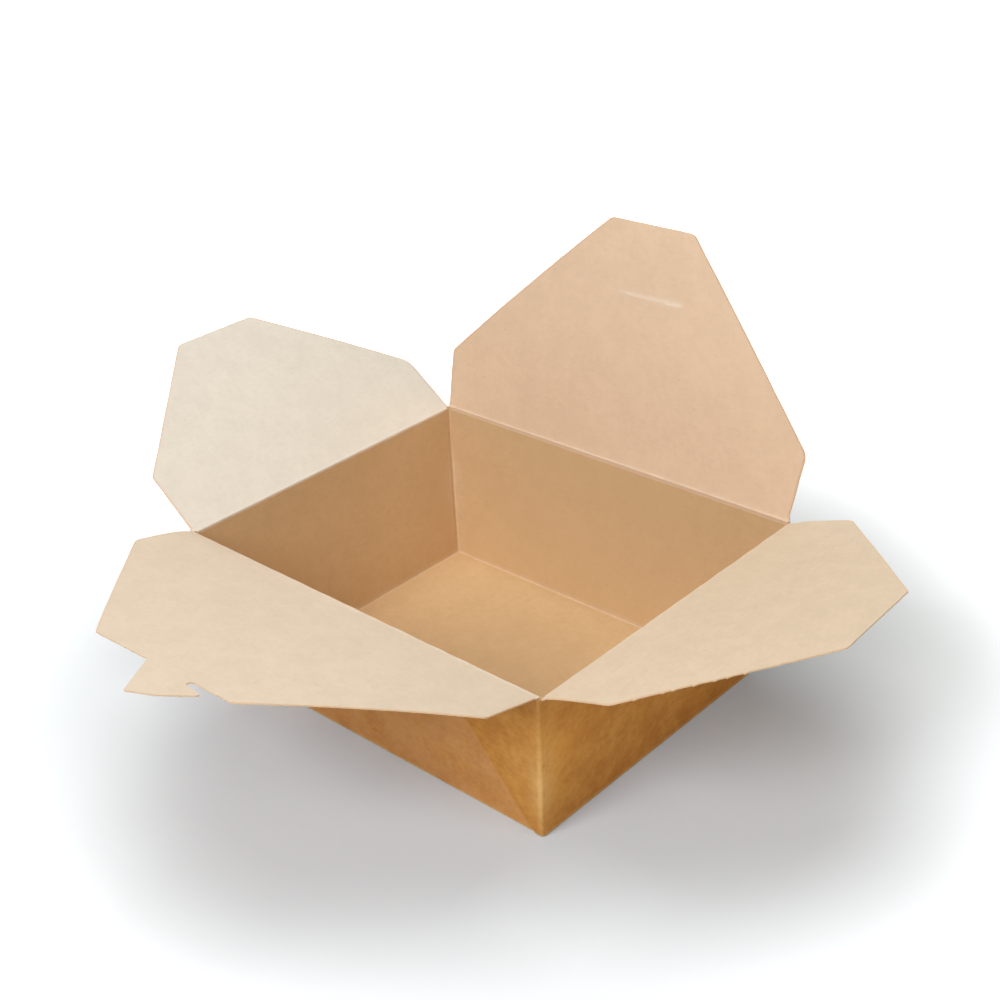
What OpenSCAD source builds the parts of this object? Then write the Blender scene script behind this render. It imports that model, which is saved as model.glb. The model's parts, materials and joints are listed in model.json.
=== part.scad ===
// Takeaway food box folded from one die-cut sheet of kraft board.
// A tapered tub with folded corner webs carries four lid flaps on creases.
// The flaps stand open, and the tab of the front flap locks into the slit of
// the back flap. The origin is the middle of the base, on the face that
// stands on the table, with the long walls along X and the tab flap at -Y.

/* [Board] */
// Thickness of the board
board = 0.45; // [0.3:0.05:0.65]
// Radius of a fold, at the middle of the board
fold_r = 0.7; // [0.5:0.1:1.5]
// Radius of the bead along a flap's crease
bead_r = 0.4; // [0.36:0.02:0.6]

/* [Tub] */
// Length between the creases of the side flaps
rim_l = 170; // [158:1:200]
// Width between the creases of the front and back flaps
rim_w = 138; // [128:1:150]
// Length of the base between its folds
base_l = 152; // [130:1:160]
// Width of the base between its folds
base_w = 120; // [100:1:130]
// Height of the front and back creases above the table
height = 65; // [45:1:90]

/* [Corner webs] */
// Distance along the base from the corner to a web's diagonal fold
web_start = 2.7; // [1.5:0.1:6]
// How far a web's cut edge stays below the crease
web_drop = 1.6; // [1.4:0.1:6]

/* [Side flaps] */
// Reach of a side flap from its crease
side_reach = 77.5; // [50:0.5:78]
// Length of its straight sides next to the crease
side_strip = 27; // [10:1:40]
// Width of its tip
side_tip = 37.5; // [20:0.5:80]

/* [Tab flap] */
// Reach of the tab flap, without its tab
front_reach = 77; // [60:1:84]
// Length of its straight sides next to the crease
front_strip = 25; // [10:1:40]
// Width of its tip
front_tip = 65; // [52:1:90]

/* [Slot flap] */
// Reach of the slot flap
back_reach = 93; // [86:1:100]
// Length of its straight sides next to the crease
back_strip = 25; // [10:1:40]
// Width of its tip
back_tip = 37; // [36:1:80]

/* [Lock] */
// Width of the tab's neck
neck_w = 21.4; // [14:0.2:24]
// How far the tab's hook reaches past its neck
hook_reach = 7; // [3:0.2:8]
// Height of the tab's point above the flap's tip
tab_reach = 16; // [12:0.5:20]
// Width of the tab's blunt point
tab_blunt = 4.4; // [2:0.2:8]
// Depth of the undercut behind the hook
notch = 2.4; // [1.4:0.2:4]
// Distance from the middle of the box to the middle of the tab and the slit
lock_shift = 4.2; // [0:0.1:8]
// How far the tab flap reaches past the slit when both are closed
lock_lap = 4; // [0:0.5:8]
// Width of the slit
slit_w = 0.8; // [0.4:0.1:2]

/* [Opening] */
// Angle of the tab flap from level, in degrees
front_open = 167.4; // [90:0.1:210]
// Angle of the slot flap from level, in degrees
back_open = 109.5; // [90:0.1:210]
// Angle of the left side flap from level, in degrees
left_open = 146; // [95:0.1:210]
// Angle of the right side flap from level, in degrees
right_open = 163.2; // [95:0.1:210]

/* [Hidden] */

// Gap between a bead and the rim that it turns on
crease_gap = 0.15;
// Gap between a side flap and a long flap that lies on it when closed
lid_gap = 0.3;
// Gap between a flap's end and the rim's corner
corner_gap = 0.6;
// Widening of a long flap from its crease to the end of its straight sides
flare = 0.6;
// Radius of a cut corner, and of the tab's finer corners
cut_r = 4;
fine_r = 0.9;
// How far the hook's tip stands above its undercut
hook_lift = 3;
// Where the tab's long edge bends, as shares of its neck's width and of its height
bend_across = 0.62;
bend_up = 0.63;
// How far a web's round edge stays inside its two faces
web_ease = 0.02;
// Steps in a rounded corner of a cut outline
arc_steps = 5;
// Facets of a fold's rounding, and of a round piece
fold_facets = 24;
round_facets = 48;
// Slack added to cutting bodies
over = 5;

// The walls lean out from the base to the creases. The side creases lie lower
// than the long ones, so that the long flaps close flat on the side flaps.
base_z = board / 2;
front_z = height;
side_z = front_z - board - lid_gap;
slope_l = (rim_l - base_l) / 2 / (front_z - base_z);
slope_w = (rim_w - base_w) / 2 / (front_z - base_z);
lean_l = atan(slope_l);
lean_w = atan(slope_w);

// In the flat sheet a web fills the corner between two walls, and its diagonal
// fold halves that angle. Folded, the diagonal leans in from the corner.
edge_lean_l = atan(slope_l * cos(lean_w));
edge_lean_w = atan(slope_w * cos(lean_l));
web_half = (90 - edge_lean_l - edge_lean_w) / 2;
web_slope = tan(web_half - edge_lean_l) / cos(lean_w);
web_thick = 2 * board;
web_top = front_z - web_drop;
web_x = base_l / 2 - web_start;

// The slit lies where the tab flap's tip comes down, less the lap
slit_len = neck_w + 2 * hook_reach;
slit_reach = rim_w - front_reach + lock_lap;

kraft_out = [0.70, 0.52, 0.33];
kraft_in = [0.87, 0.77, 0.63];

function unit(v) = v / norm(v);

// A corner of an outline as an arc that meets both of its edges
function corner(before, at, after, r) =
    let (
        to_before = unit(before - at),
        to_after = unit(after - at),
        half = acos(to_before * to_after) / 2,
        room = 0.45 * min(norm(before - at), norm(after - at)),
        reach = min(r / tan(half), room),
        radius = reach * tan(half),
        centre = at + unit(to_before + to_after) * radius / sin(half),
        first = at + to_before * reach - centre,
        last = at + to_after * reach - centre,
        start = atan2(first[1], first[0]),
        turn = atan2(last[1], last[0]) - start,
        sweep = turn > 180 ? turn - 360 : turn < -180 ? turn + 360 : turn
    )
    r == 0 ? [at] : [
        for (i = [0 : arc_steps])
            let (a = start + sweep * i / arc_steps)
            centre + radius * [cos(a), sin(a)]
    ];

// The points of an outline given as [x, y, corner radius]
function rounded(path) =
    let (n = len(path), xy = [for (p = path) [p[0], p[1]]])
    [
        for (i = [0 : n - 1])
            each corner(xy[(i + n - 1) % n], xy[i], xy[(i + 1) % n], path[i][2])
    ];

// The outline of a flap that lies along +Y, with its crease on X. What stands
// on its tip, if anything, comes between its right and its left edge.
function flap_outline(half, widen, strip, tip, reach, on_tip = []) =
    let (edge = [
        [half, 0, 0],
        [half + widen, strip, cut_r],
        [tip / 2, reach, cut_r]
    ])
    concat(edge, on_tip, [for (i = [2 : -1 : 0]) [-edge[i][0], edge[i][1], edge[i][2]]]);

// The tab: a hook over a round-ended undercut, a long edge that bends on its way
// to the blunt point, and a straight slanting edge
function tab(middle, base) =
    let (right = middle + neck_w / 2)
    [
        [right, base, notch / 2],
        [right, base + notch, notch / 2],
        [right + hook_reach, base + hook_lift, fine_r],
        [middle + bend_across * neck_w, base + bend_up * tab_reach, cut_r],
        [middle + tab_blunt, base + tab_reach, cut_r],
        [middle, base + tab_reach, fine_r],
        [middle - neck_w / 2, base, 0]
    ];

// The folded tub as a solid. Its faces lie "skin" outside the middle of the
// board, and its long walls another "padding" further out.
module tub_form(skin, padding = 0) {
    inset_l = fold_r / cos(lean_l);
    inset_w = (fold_r - padding) / cos(lean_w);
    low = base_z + fold_r;
    high = front_z + over;
    hull()
        for (z = [low, high], side = [-1, 1], end = [-1, 1])
            translate([
                end * (base_l / 2 + (z - base_z) * slope_l - inset_l),
                side * (base_w / 2 + (z - base_z) * slope_w - inset_w),
                z
            ])
                sphere(r = fold_r + skin, $fn = fold_facets);
}

// Space of one web seen from the front, from the middle of its fold outwards
module web_space() {
    rotate([90, 0, 0])
        linear_extrude(height = rim_w + 2 * over, center = true)
            polygon([
                [web_x, -over],
                [web_x, 0],
                [web_x - web_top * web_slope, web_top],
                [rim_l / 2 + over, web_top],
                [rim_l / 2 + over, -over]
            ]);
}

// Round edge of a web, where the sheet turns back on itself
module web_fold() {
    side = base_w / 2 - base_z * slope_w + (board + web_thick) / 2 / cos(lean_w);
    run = [-web_slope, -slope_w, 1] * web_top;
    intersection() {
        translate([web_x, -side, 0])
            rotate([0, acos(unit(run)[2]), atan2(run[1], run[0])])
                translate([0, 0, -over])
                    cylinder(r = web_thick / 2 - web_ease, h = norm(run) + 2 * over, $fn = round_facets);
        translate([0, -rim_w, 0])
            cube([rim_l, rim_w, web_top]);
    }
}

// Spare board of the corners, folded double and glued flat outside the long walls
module webs() {
    intersection() {
        tub_form(board / 2, web_thick);
        for (end = [0, 1])
            mirror([end, 0, 0])
                web_space();
    }
    for (end = [0, 1], side = [0, 1])
        mirror([end, 0, 0])
            mirror([0, side, 0])
                web_fold();
}

// Everything above the given height, from a distance out along X
module above(z, from) {
    translate([from, -rim_w, z])
        cube([rim_l, 2 * rim_w, front_z]);
}

// The tub: base, four walls and four corner webs in one folded sheet
module tub() {
    rise = bead_r + crease_gap;
    color(kraft_out)
        difference() {
            union() {
                tub_form(board / 2);
                webs();
            }
            tub_form(-board / 2);
            for (end = [0, 1])
                mirror([end, 0, 0]) {
                    above(front_z - rise, -over);
                    above(side_z - rise, rim_l / 2 - fold_r - board);
                }
        }
}

// A flap: the bead that it turns on, and the sheet cut to its outline
module flap(half, outline) {
    rotate([0, 90, 0])
        cylinder(r = bead_r, h = 2 * half, center = true, $fn = round_facets);
    translate([0, 0, -board / 2])
        linear_extrude(height = board)
            polygon(rounded(outline));
}

// Puts a flap on its crease: level and closed at 0 degrees, then opened
module on_crease(turn, span, z, opening) {
    color(kraft_in)
        rotate([0, 0, turn])
            translate([0, -span / 2, z])
                rotate([opening, 0, 0])
                    children();
}

// The tab flap, at the front
module front_flap() {
    half = rim_l / 2 - corner_gap;
    on_crease(0, rim_w, front_z, front_open)
        flap(half, flap_outline(
            half, flare, front_strip, front_tip, front_reach, tab(lock_shift, front_reach)
        ));
}

// The slit that takes the tab, with round ends
module slit() {
    run = slit_len - slit_w;
    linear_extrude(height = 2 * board, center = true)
        union() {
            square([run, slit_w], center = true);
            for (end = [-1, 1])
                translate([end * run / 2, 0])
                    circle(d = slit_w, $fn = round_facets);
        }
}

// The slot flap, at the back, where its own X runs against the box's
module back_flap() {
    half = rim_l / 2 - corner_gap;
    on_crease(180, rim_w, front_z, back_open)
        difference() {
            flap(half, flap_outline(half, flare, back_strip, back_tip, back_reach));
            translate([-lock_shift, slit_reach, 0])
                slit();
        }
}

// A plain side flap
module side_flap() {
    half = rim_w / 2 - corner_gap;
    flap(half, flap_outline(half, 0, side_strip, side_tip, side_reach));
}

// The left side flap
module left_flap() {
    on_crease(270, rim_l, side_z, left_open)
        side_flap();
}

// The right side flap
module right_flap() {
    on_crease(90, rim_l, side_z, right_open)
        side_flap();
}

tub();
front_flap();
back_flap();
left_flap();
right_flap();
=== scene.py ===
"""An open takeaway box of kraft board, dressed round its solids.

The box is one folded sheet. Each stretch of it is a thin shell: a middle surface
worked out on a grid, with a face half a board's thickness to either side of it.
Lengths are in millimetres until a mesh is made.
"""

import json
import math

import bmesh
import bpy
import numpy as np
from mathutils import Matrix, Vector

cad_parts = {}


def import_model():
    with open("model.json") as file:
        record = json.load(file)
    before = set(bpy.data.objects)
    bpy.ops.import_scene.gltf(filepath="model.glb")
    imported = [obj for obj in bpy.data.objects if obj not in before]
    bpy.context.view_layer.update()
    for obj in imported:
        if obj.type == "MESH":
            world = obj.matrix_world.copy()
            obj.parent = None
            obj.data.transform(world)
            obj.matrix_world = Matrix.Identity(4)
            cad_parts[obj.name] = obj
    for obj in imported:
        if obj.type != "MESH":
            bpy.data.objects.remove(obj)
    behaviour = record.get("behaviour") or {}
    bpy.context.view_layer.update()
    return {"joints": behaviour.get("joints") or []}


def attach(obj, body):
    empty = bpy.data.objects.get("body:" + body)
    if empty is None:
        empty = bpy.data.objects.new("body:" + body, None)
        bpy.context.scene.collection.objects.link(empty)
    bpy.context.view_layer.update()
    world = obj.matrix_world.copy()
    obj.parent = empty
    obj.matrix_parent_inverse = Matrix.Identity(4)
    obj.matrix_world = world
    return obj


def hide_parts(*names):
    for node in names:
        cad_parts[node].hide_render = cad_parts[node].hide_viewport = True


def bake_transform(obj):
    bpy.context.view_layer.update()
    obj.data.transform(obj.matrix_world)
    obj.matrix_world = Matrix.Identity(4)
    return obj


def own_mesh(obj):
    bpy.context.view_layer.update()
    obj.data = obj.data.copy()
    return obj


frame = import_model()

MM = 0.001
joints = {j["name"]: j for j in frame["joints"]}

# The sheet, as the solids have it
BOARD = 0.45
BASE_L = 152.0
BASE_W = 120.0
FOLD_R = 0.7
CORNER_R = 0.9
WEB_START = 2.7
WEB_DROP = 1.6
RIM_L = 2 * joints["right_crease"]["pos_m"][0] / MM
RIM_W = 2 * joints["back_crease"]["pos_m"][1] / MM
LONG_Z = joints["front_crease"]["pos_m"][2] / MM
SIDE_Z = joints["right_crease"]["pos_m"][2] / MM
BASE_Z = BOARD / 2
SLOPE_L = (RIM_L - BASE_L) / 2 / (LONG_Z - BASE_Z)
SLOPE_W = (RIM_W - BASE_W) / 2 / (LONG_Z - BASE_Z)
CORNER_GAP = 0.6

# How far from a crease the wall and the flap stop, and the strip between reaches
CREASE_STOP = 0.8
STRIP_REACH = 1.9
FOLD_SOFT = 0.65

# Height of the bead that the creasing rule leaves on the inner face
CREASE_BEAD = 0.2
# How far a crease's strip reaches past its flap's ends, and stands proud of the board
STRIP_OVER = 0.35
STRIP_PROUD = 0.025
# Height of the soft waves in the board itself, and how far a cut edge wanders
WAVE = 0.1
EDGE_WANDER = 0.05

# Points on an arc, and the most of its shorter edge that a rounded corner takes
ARC_POINTS = 7
ARC_ROOM = 0.45
# Distance within which points are joined, and the angle in degrees past which an edge is sharp
WELD = 0.006
SHARP = 50

# Camera fitted to the photograph
CAM_AZIMUTH = 43.4
CAM_ELEVATION = 28.11
CAM_ROLL = -3.04
CAM_DISTANCE = 658.0
CAM_TARGET = (-55.34, 66.2, 30.0)
CAM_FOCAL_PX = 1546.7
FRAME_PX = 1000
SENSOR = 36.0


def unit(v):
    """Vectors along the last axis, each divided by its length."""
    return v / np.maximum(np.linalg.norm(v, axis=-1, keepdims=True), 1e-12)


def smooth(x):
    """0 below 0, 1 above 1, and a cubic ease between."""
    x = np.clip(x, 0.0, 1.0)
    return x * x * (3 - 2 * x)


def ripple(a, b, length, seed, count=9):
    """Gentle random relief from -1 to 1 or so.

    It is a sum of plane waves of about the given length, with seeded directions.
    """
    rng = np.random.default_rng(seed)
    total = np.zeros(np.broadcast(a, b).shape)
    for _ in range(count):
        turn = rng.uniform(0, 2 * math.pi)
        wave = length * rng.uniform(0.7, 1.5)
        phase = rng.uniform(0, 2 * math.pi)
        total += np.sin(2 * math.pi * (a * math.cos(turn) + b * math.sin(turn)) / wave + phase)
    return total / math.sqrt(count)


def rounded_path(points):
    """Points of a path given as [x, y, radius], each inner corner an arc that meets both its edges."""
    path = [np.array(points[0][:2], float)]
    for before, at, after in zip(points, points[1:], points[2:]):
        here = np.array(at[:2], float)
        back = unit(np.array(before[:2], float) - here)
        ahead = unit(np.array(after[:2], float) - here)
        if at[2] == 0:
            path.append(here)
            continue
        half = math.acos(float(back @ ahead)) / 2
        room = ARC_ROOM * min(math.dist(before[:2], at[:2]), math.dist(after[:2], at[:2]))
        reach = min(at[2] / math.tan(half), room)
        radius = reach * math.tan(half)
        centre = here + unit(back + ahead) * radius / math.sin(half)
        first = here + back * reach - centre
        last = here + ahead * reach - centre
        start = math.atan2(first[1], first[0])
        sweep = (math.atan2(last[1], last[0]) - start + math.pi) % (2 * math.pi) - math.pi
        for a in np.linspace(start, start + sweep, ARC_POINTS):
            path.append(centre + radius * np.array([math.cos(a), math.sin(a)]))
    path.append(np.array(points[-1][:2], float))
    return np.array(path)


def shell(mid, normal, half, inner_half=None, keep=None, wrap=False):
    """A closed sheet round a middle surface.

    mid and normal are grids of points and unit normals, half is half the thickness there. keep says which
    cells exist, and wrap joins the last column to the first. The outer face lies at mid + normal * half, the
    inner one at mid - normal * inner_half, and every free edge gets a cut face. Returns the points, the faces
    and the face kinds: 0 outer, 1 inner, 2 cut.
    """
    rows, cols = mid.shape[:2]
    outer = np.broadcast_to(half, (rows, cols))[..., None]
    inner = outer if inner_half is None else np.broadcast_to(inner_half, (rows, cols))[..., None]
    points = np.concatenate([(mid + normal * outer).reshape(-1, 3), (mid - normal * inner).reshape(-1, 3)])
    index = np.arange(rows * cols).reshape(rows, cols)
    if wrap:
        index = np.concatenate([index, index[:, :1]], axis=1)
    cells = np.ones((rows - 1, index.shape[1] - 1), bool) if keep is None else keep
    a, b = index[:-1, :-1], index[:-1, 1:]
    c, d = index[1:, 1:], index[1:, :-1]
    top = np.stack([a, b, c, d], -1)[cells]
    far = rows * cols
    # Which way round the outer faces run, from the first cell's own corners
    r, q = np.argwhere(cells)[len(np.argwhere(cells)) // 2]
    corner = [mid.reshape(-1, 3)[i] for i in (a[r, q], b[r, q], d[r, q])]
    facing = np.cross(corner[1] - corner[0], corner[2] - corner[0]) @ normal.reshape(-1, 3)[a[r, q]]
    if facing < 0:
        top = top[:, ::-1]
    under = top[:, ::-1] + far
    # Free edges are those that only one face uses
    starts = top.ravel()
    ends = np.roll(top, -1, axis=1).ravel()
    forward = starts.astype(np.int64) * far + ends
    backward = ends.astype(np.int64) * far + starts
    # At a pole the points of a row lie together, and nothing is free there
    apart = np.linalg.norm(points[starts] - points[ends], axis=1) > 1e-6
    free = ~np.isin(forward, backward) & apart
    s, e = starts[free], ends[free]
    cut = np.stack([e, s, s + far, e + far], -1)
    faces = np.concatenate([top, under, cut])
    kinds = np.concatenate([np.zeros(len(top), int), np.ones(len(under), int), np.full(len(cut), 2)])
    return points, faces, kinds


def grid_normals(mid, wrap=False):
    """Unit normals of a grid surface, from the cross product of its two tangents."""
    if wrap:
        wide = np.concatenate([mid[:, -1:], mid, mid[:, :1]], axis=1)
        along = np.gradient(wide, axis=1)[:, 1:-1]
    else:
        along = np.gradient(mid, axis=1)
    return unit(np.cross(along, np.gradient(mid, axis=0)))


def piece(name, parts, materials):
    """One mesh from several closed shells, with its face kinds as material slots.

    Each part is (points, faces, kinds, {attribute: one value a point}, flat sheet coordinates a point). An
    attribute that a part doesn't have is 0 there.
    """
    offset = 0
    points, faces, kinds, sheet = [], [], [], []
    values = {key: [] for part in parts for key in part[3]}
    for pts, fcs, knd, extra, flat in parts:
        points.append(pts)
        faces.append(fcs + offset)
        kinds.append(knd)
        sheet.append(flat)
        for key in values:
            values[key].append(extra.get(key, np.zeros(len(pts))))
        offset += len(pts)
    points = np.concatenate(points)
    faces = np.concatenate(faces)
    kinds = np.concatenate(kinds)
    sheet = np.concatenate(sheet)
    mesh = bpy.data.meshes.new(name)
    mesh.from_pydata(points * MM, [], faces.tolist())
    for key, v in values.items():
        layer = mesh.attributes.new(key, "FLOAT", "POINT")
        layer.data.foreach_set("value", np.concatenate(v).astype(np.float32))
    layer = mesh.uv_layers.new(name="sheet")
    loops = np.zeros(len(mesh.loops), np.int32)
    mesh.loops.foreach_get("vertex_index", loops)
    layer.data.foreach_set("uv", (sheet[loops] * MM).astype(np.float32).ravel())
    for m in materials:
        mesh.materials.append(m)
    mesh.polygons.foreach_set("material_index", kinds.astype(np.int32))
    mesh.polygons.foreach_set("use_smooth", np.ones(len(faces), bool))
    tidy = bmesh.new()
    tidy.from_mesh(mesh)
    bmesh.ops.remove_doubles(tidy, verts=tidy.verts, dist=WELD * MM)
    tidy.to_mesh(mesh)
    tidy.free()
    mesh.set_sharp_from_angle(angle=math.radians(SHARP))
    obj = bpy.data.objects.new(name, mesh)
    bpy.context.scene.collection.objects.link(obj)
    return obj


def both(values):
    """The same values for the outer and the inner points of a shell."""
    flat = np.asarray(values).reshape(-1, *np.asarray(values).shape[2:])
    return np.concatenate([flat, flat])


# Tub

# How far the middle of a long wall and of a side wall bows outwards
LONG_BOW = 0.35
SIDE_BOW = 0.6
# How far the floor's middle stands above its edge
FLOOR_RISE = 0.45
# How near to a corner the walls' top edge rises to the rim
CORNER_RISE = 2.0


def long_bow(x, z):
    """How far a long wall bows outwards at a height: a half sine up the wall, fading to the corners."""
    return LONG_BOW * np.sin(math.pi * np.clip(z / LONG_Z, 0, 1)) * np.cos(math.pi * x / RIM_L) ** 2


def side_bow(y, z):
    """The same for a side wall, which has no webs to stiffen it."""
    return SIDE_BOW * np.sin(math.pi * np.clip(z / SIDE_Z, 0, 1)) * np.cos(math.pi * y / RIM_W) ** 2


def ring(count_long=56, count_side=46, count_corner=7):
    """Columns round the tub: how far along each wall, and the direction that the wall faces.

    At half sizes X, Y and corner radius r, a column lies at (ex (X - r) + nx r, ey (Y - r) + ny r).
    """
    def spread(n):
        return np.sin(np.linspace(-math.pi / 2, math.pi / 2, n)[1:-1])
    ex, ey, nx, ny = [], [], [], []
    walls = ((0, -1, count_long), (1, 0, count_side), (0, 1, count_long), (-1, 0, count_side))
    for wx, wy, count in walls:
        run = spread(count)
        # Counter-clockwise: the front wall runs to +X, the right one to +Y
        ex.append(run * -wy if wy else np.full(len(run), float(wx)))
        ey.append(run * wx if wx else np.full(len(run), float(wy)))
        nx.append(np.full(len(run), float(wx)))
        ny.append(np.full(len(run), float(wy)))
        start = math.atan2(wy, wx)
        turn = np.linspace(start, start + math.pi / 2, count_corner)
        mid = start + math.pi / 4
        ex.append(np.full(count_corner, math.copysign(1, math.cos(mid))))
        ey.append(np.full(count_corner, math.copysign(1, math.sin(mid))))
        nx.append(np.cos(turn))
        ny.append(np.sin(turn))
    return [np.concatenate(a) for a in (ex, ey, nx, ny)]


def corner_glow(distance, height):
    """How pale a corner fold is: a narrow core of rubbed board, with a wide faint halo that is a painted
    highlight. Both fade towards the top, where the flaps shade the wall, and the halo fades towards the
    bottom too.
    """
    ends = (1 - 0.85 * smooth((height - 32) / 16)) * (0.25 + 0.75 * smooth((height - 6) / 16))
    core = 0.35 * (1 - 0.6 * smooth((height - 36) / 14))
    return core * np.exp(-(distance / 0.8) ** 2) + 0.55 * ends * np.exp(-(distance / 4.8) ** 2)


def corner_light(distance, height):
    """How much painted light lies beside a corner, where light is thrown back onto the wall: a soft golden
    patch at half height.
    """
    return np.exp(-(distance / 16) ** 2 - ((height - 31) / 17) ** 2)


def tub_rows(ex, ey, nx, ny):
    """Middle surface of the base and the four walls, one row round the tub at a time.

    The rows spread from the floor's middle, roll up the bottom fold and climb the walls. Returns the points,
    how far up the wall each is, with -1 on the floor, their heights, and how many rows lie on the floor.
    """
    on_long, on_side = np.abs(ny) > 0.99, np.abs(nx) > 0.99
    lean = math.atan(SLOPE_L)
    inset = FOLD_R * math.tan((math.pi / 2 - lean) / 2)
    roll_end = math.pi / 2 - lean
    # The walls stop short of the creases, and rise to them at the corners
    blend = nx ** 2
    top = (LONG_Z - CREASE_STOP) * (1 - blend) + (SIDE_Z - CREASE_STOP) * blend
    past_l = smooth(np.abs(ex) * RIM_L / 2 - (RIM_L / 2 - CORNER_RISE)) * (np.abs(ny) > 0)
    past_w = smooth(np.abs(ey) * RIM_W / 2 - (RIM_W / 2 - CORNER_RISE)) * (np.abs(nx) > 0)
    top += np.maximum(past_l, past_w) * (LONG_Z - 0.1 - top)
    grow = np.concatenate([[0], np.linspace(0.04, 0.9, 22), [0.95, 0.975, 0.99, 1.0]])
    rolls = np.linspace(0, roll_end, 9)[1:]
    climb = np.linspace(0, 1, 40)[1:]
    small_r = CORNER_R - FOLD_R * math.sin(roll_end)
    low_l = BASE_L / 2 - inset
    low_w = BASE_W / 2 - inset
    start_z = BASE_Z + FOLD_R * (1 - math.cos(roll_end))
    rows, share, height = [], [], []
    for f in grow:
        x = ex * f * (low_l - small_r) + nx * f * small_r
        y = ey * f * (low_w - small_r) + ny * f * small_r
        wave = WAVE * ripple(x, y, 70, 5) * (1 - f ** 4)
        z = np.maximum(BASE_Z, BASE_Z + FLOOR_RISE * (1 - smooth(f)) + wave)
        rows.append(np.stack([x, y, z], -1))
        share.append(-1.0)
        height.append(np.zeros(len(ex)))
    for t in rolls:
        out = FOLD_R * math.sin(t)
        r = small_r + out
        x = ex * (low_l + out - r) + nx * r
        y = ey * (low_w + out - r) + ny * r
        z = np.full(len(ex), BASE_Z + FOLD_R * (1 - math.cos(t)))
        rows.append(np.stack([x, y, z], -1))
        share.append(0.0)
        height.append(z)
    for c in climb:
        z = start_z + c * (top - start_z)
        x = ex * (BASE_L / 2 + SLOPE_L * (z - BASE_Z) - CORNER_R) + nx * CORNER_R
        y = ey * (BASE_W / 2 + SLOPE_W * (z - BASE_Z) - CORNER_R) + ny * CORNER_R
        flat = np.where(on_long, ex * RIM_L / 2, ey * RIM_W / 2)
        calm = np.sin(math.pi * c) * (1 - np.where(on_long, np.abs(ex), np.abs(ey)) ** 8)
        wave = WAVE * ripple(flat + 200 * nx + 400 * ny, z, 45, 11) * np.maximum(calm, 0)
        x = x + nx * on_side * (side_bow(y, z) + wave)
        y = y + ny * on_long * (long_bow(x, z) + 0.3 * wave)
        rows.append(np.stack([x, y, z], -1))
        share.append(c)
        height.append(z)
    height = np.array(height)
    share = np.broadcast_to(np.array(share)[:, None], height.shape)
    return np.array(rows), share, height, len(grow) - 1


def tub_body():
    """Base and four walls as a closed sheet, with the masks of rubbed board and of painted light on them."""
    columns = ring()
    nx, ny = columns[2:]
    mid, share, height, floor_rows = tub_rows(*columns)
    normal = -grid_normals(mid, wrap=True)
    normal[:floor_rows] = (0, 0, -1)
    if (normal[-1, :, 0] * nx).sum() < 0:
        normal[floor_rows:] *= -1
    points, faces, kinds = shell(mid, normal, BOARD / 2, wrap=True)
    # What shows of the rim at the corners is the inner face, rolled outwards
    kinds[kinds == 2] = 1
    far_l = np.abs(np.abs(mid[..., 0]) - (BASE_L / 2 + SLOPE_L * (height - BASE_Z)))
    far_w = np.abs(np.abs(mid[..., 1]) - (BASE_W / 2 + SLOPE_W * (height - BASE_Z)))
    away = np.maximum(far_l, far_w)
    corner = corner_glow(away, height) * (share > 0)
    # Painted light: a golden patch on the side walls beside each corner
    painted_corner_light = corner_light(away, height) * (share > 0) * (np.abs(nx) > 0.5)
    bottom = 0.8 * np.exp(-((height - 0.4) / 0.9) ** 2) * (share >= 0)
    bottom += 1.2 * np.exp(-(height / 2.5) ** 2) * corner
    around = np.cumsum(np.concatenate([[0], np.linalg.norm(np.diff(mid[-1], axis=0), axis=1)]))
    around = np.broadcast_to(around, height.shape)
    on_floor = share < 0
    sheet = np.stack([np.where(on_floor, mid[..., 0], around), np.where(on_floor, mid[..., 1], height)], -1)
    # Painted light: the bare middle of the long walls, between the webs, is lighter and rosier, as if lit
    # more from below
    bare = 1 - smooth((np.abs(mid[..., 0]) - WEB_X + web_slope() * height + 2) / 4)
    painted_bare_light = bare * (share > 0) * (np.abs(ny) > 0.5)
    # The first mask holds the rubbed folds and base edge, with the corners' painted highlight
    masks = {"wear_and_highlight": both(np.maximum(corner, bottom)), "painted_bare_light": both(painted_bare_light), "painted_corner_light": both(painted_corner_light)}
    return points, faces, kinds, masks, both(sheet)


WEB_TOP = LONG_Z - WEB_DROP
WEB_X = BASE_L / 2 - WEB_START
# Spacing of a web's two layers: loose at the top, pressed together by the base fold
LAYER = 1.18
LAYER_LOW = 0.6
# Round the corner a web's top edge rises to the creases: from what height, and how far
WEB_RISE_FROM = 48
WEB_RISE = 1.25


def web_slope():
    """How fast a web's diagonal fold leans in.

    It halves the angle between the two walls in the flat sheet.
    """
    lean_l, lean_w = math.atan(SLOPE_L), math.atan(SLOPE_W)
    edge_l = math.atan(SLOPE_L * math.cos(lean_w))
    edge_w = math.atan(SLOPE_W * math.cos(lean_l))
    half = (math.pi / 2 - edge_l - edge_w) / 2
    return math.tan(half - edge_l) / math.cos(lean_w)


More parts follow.
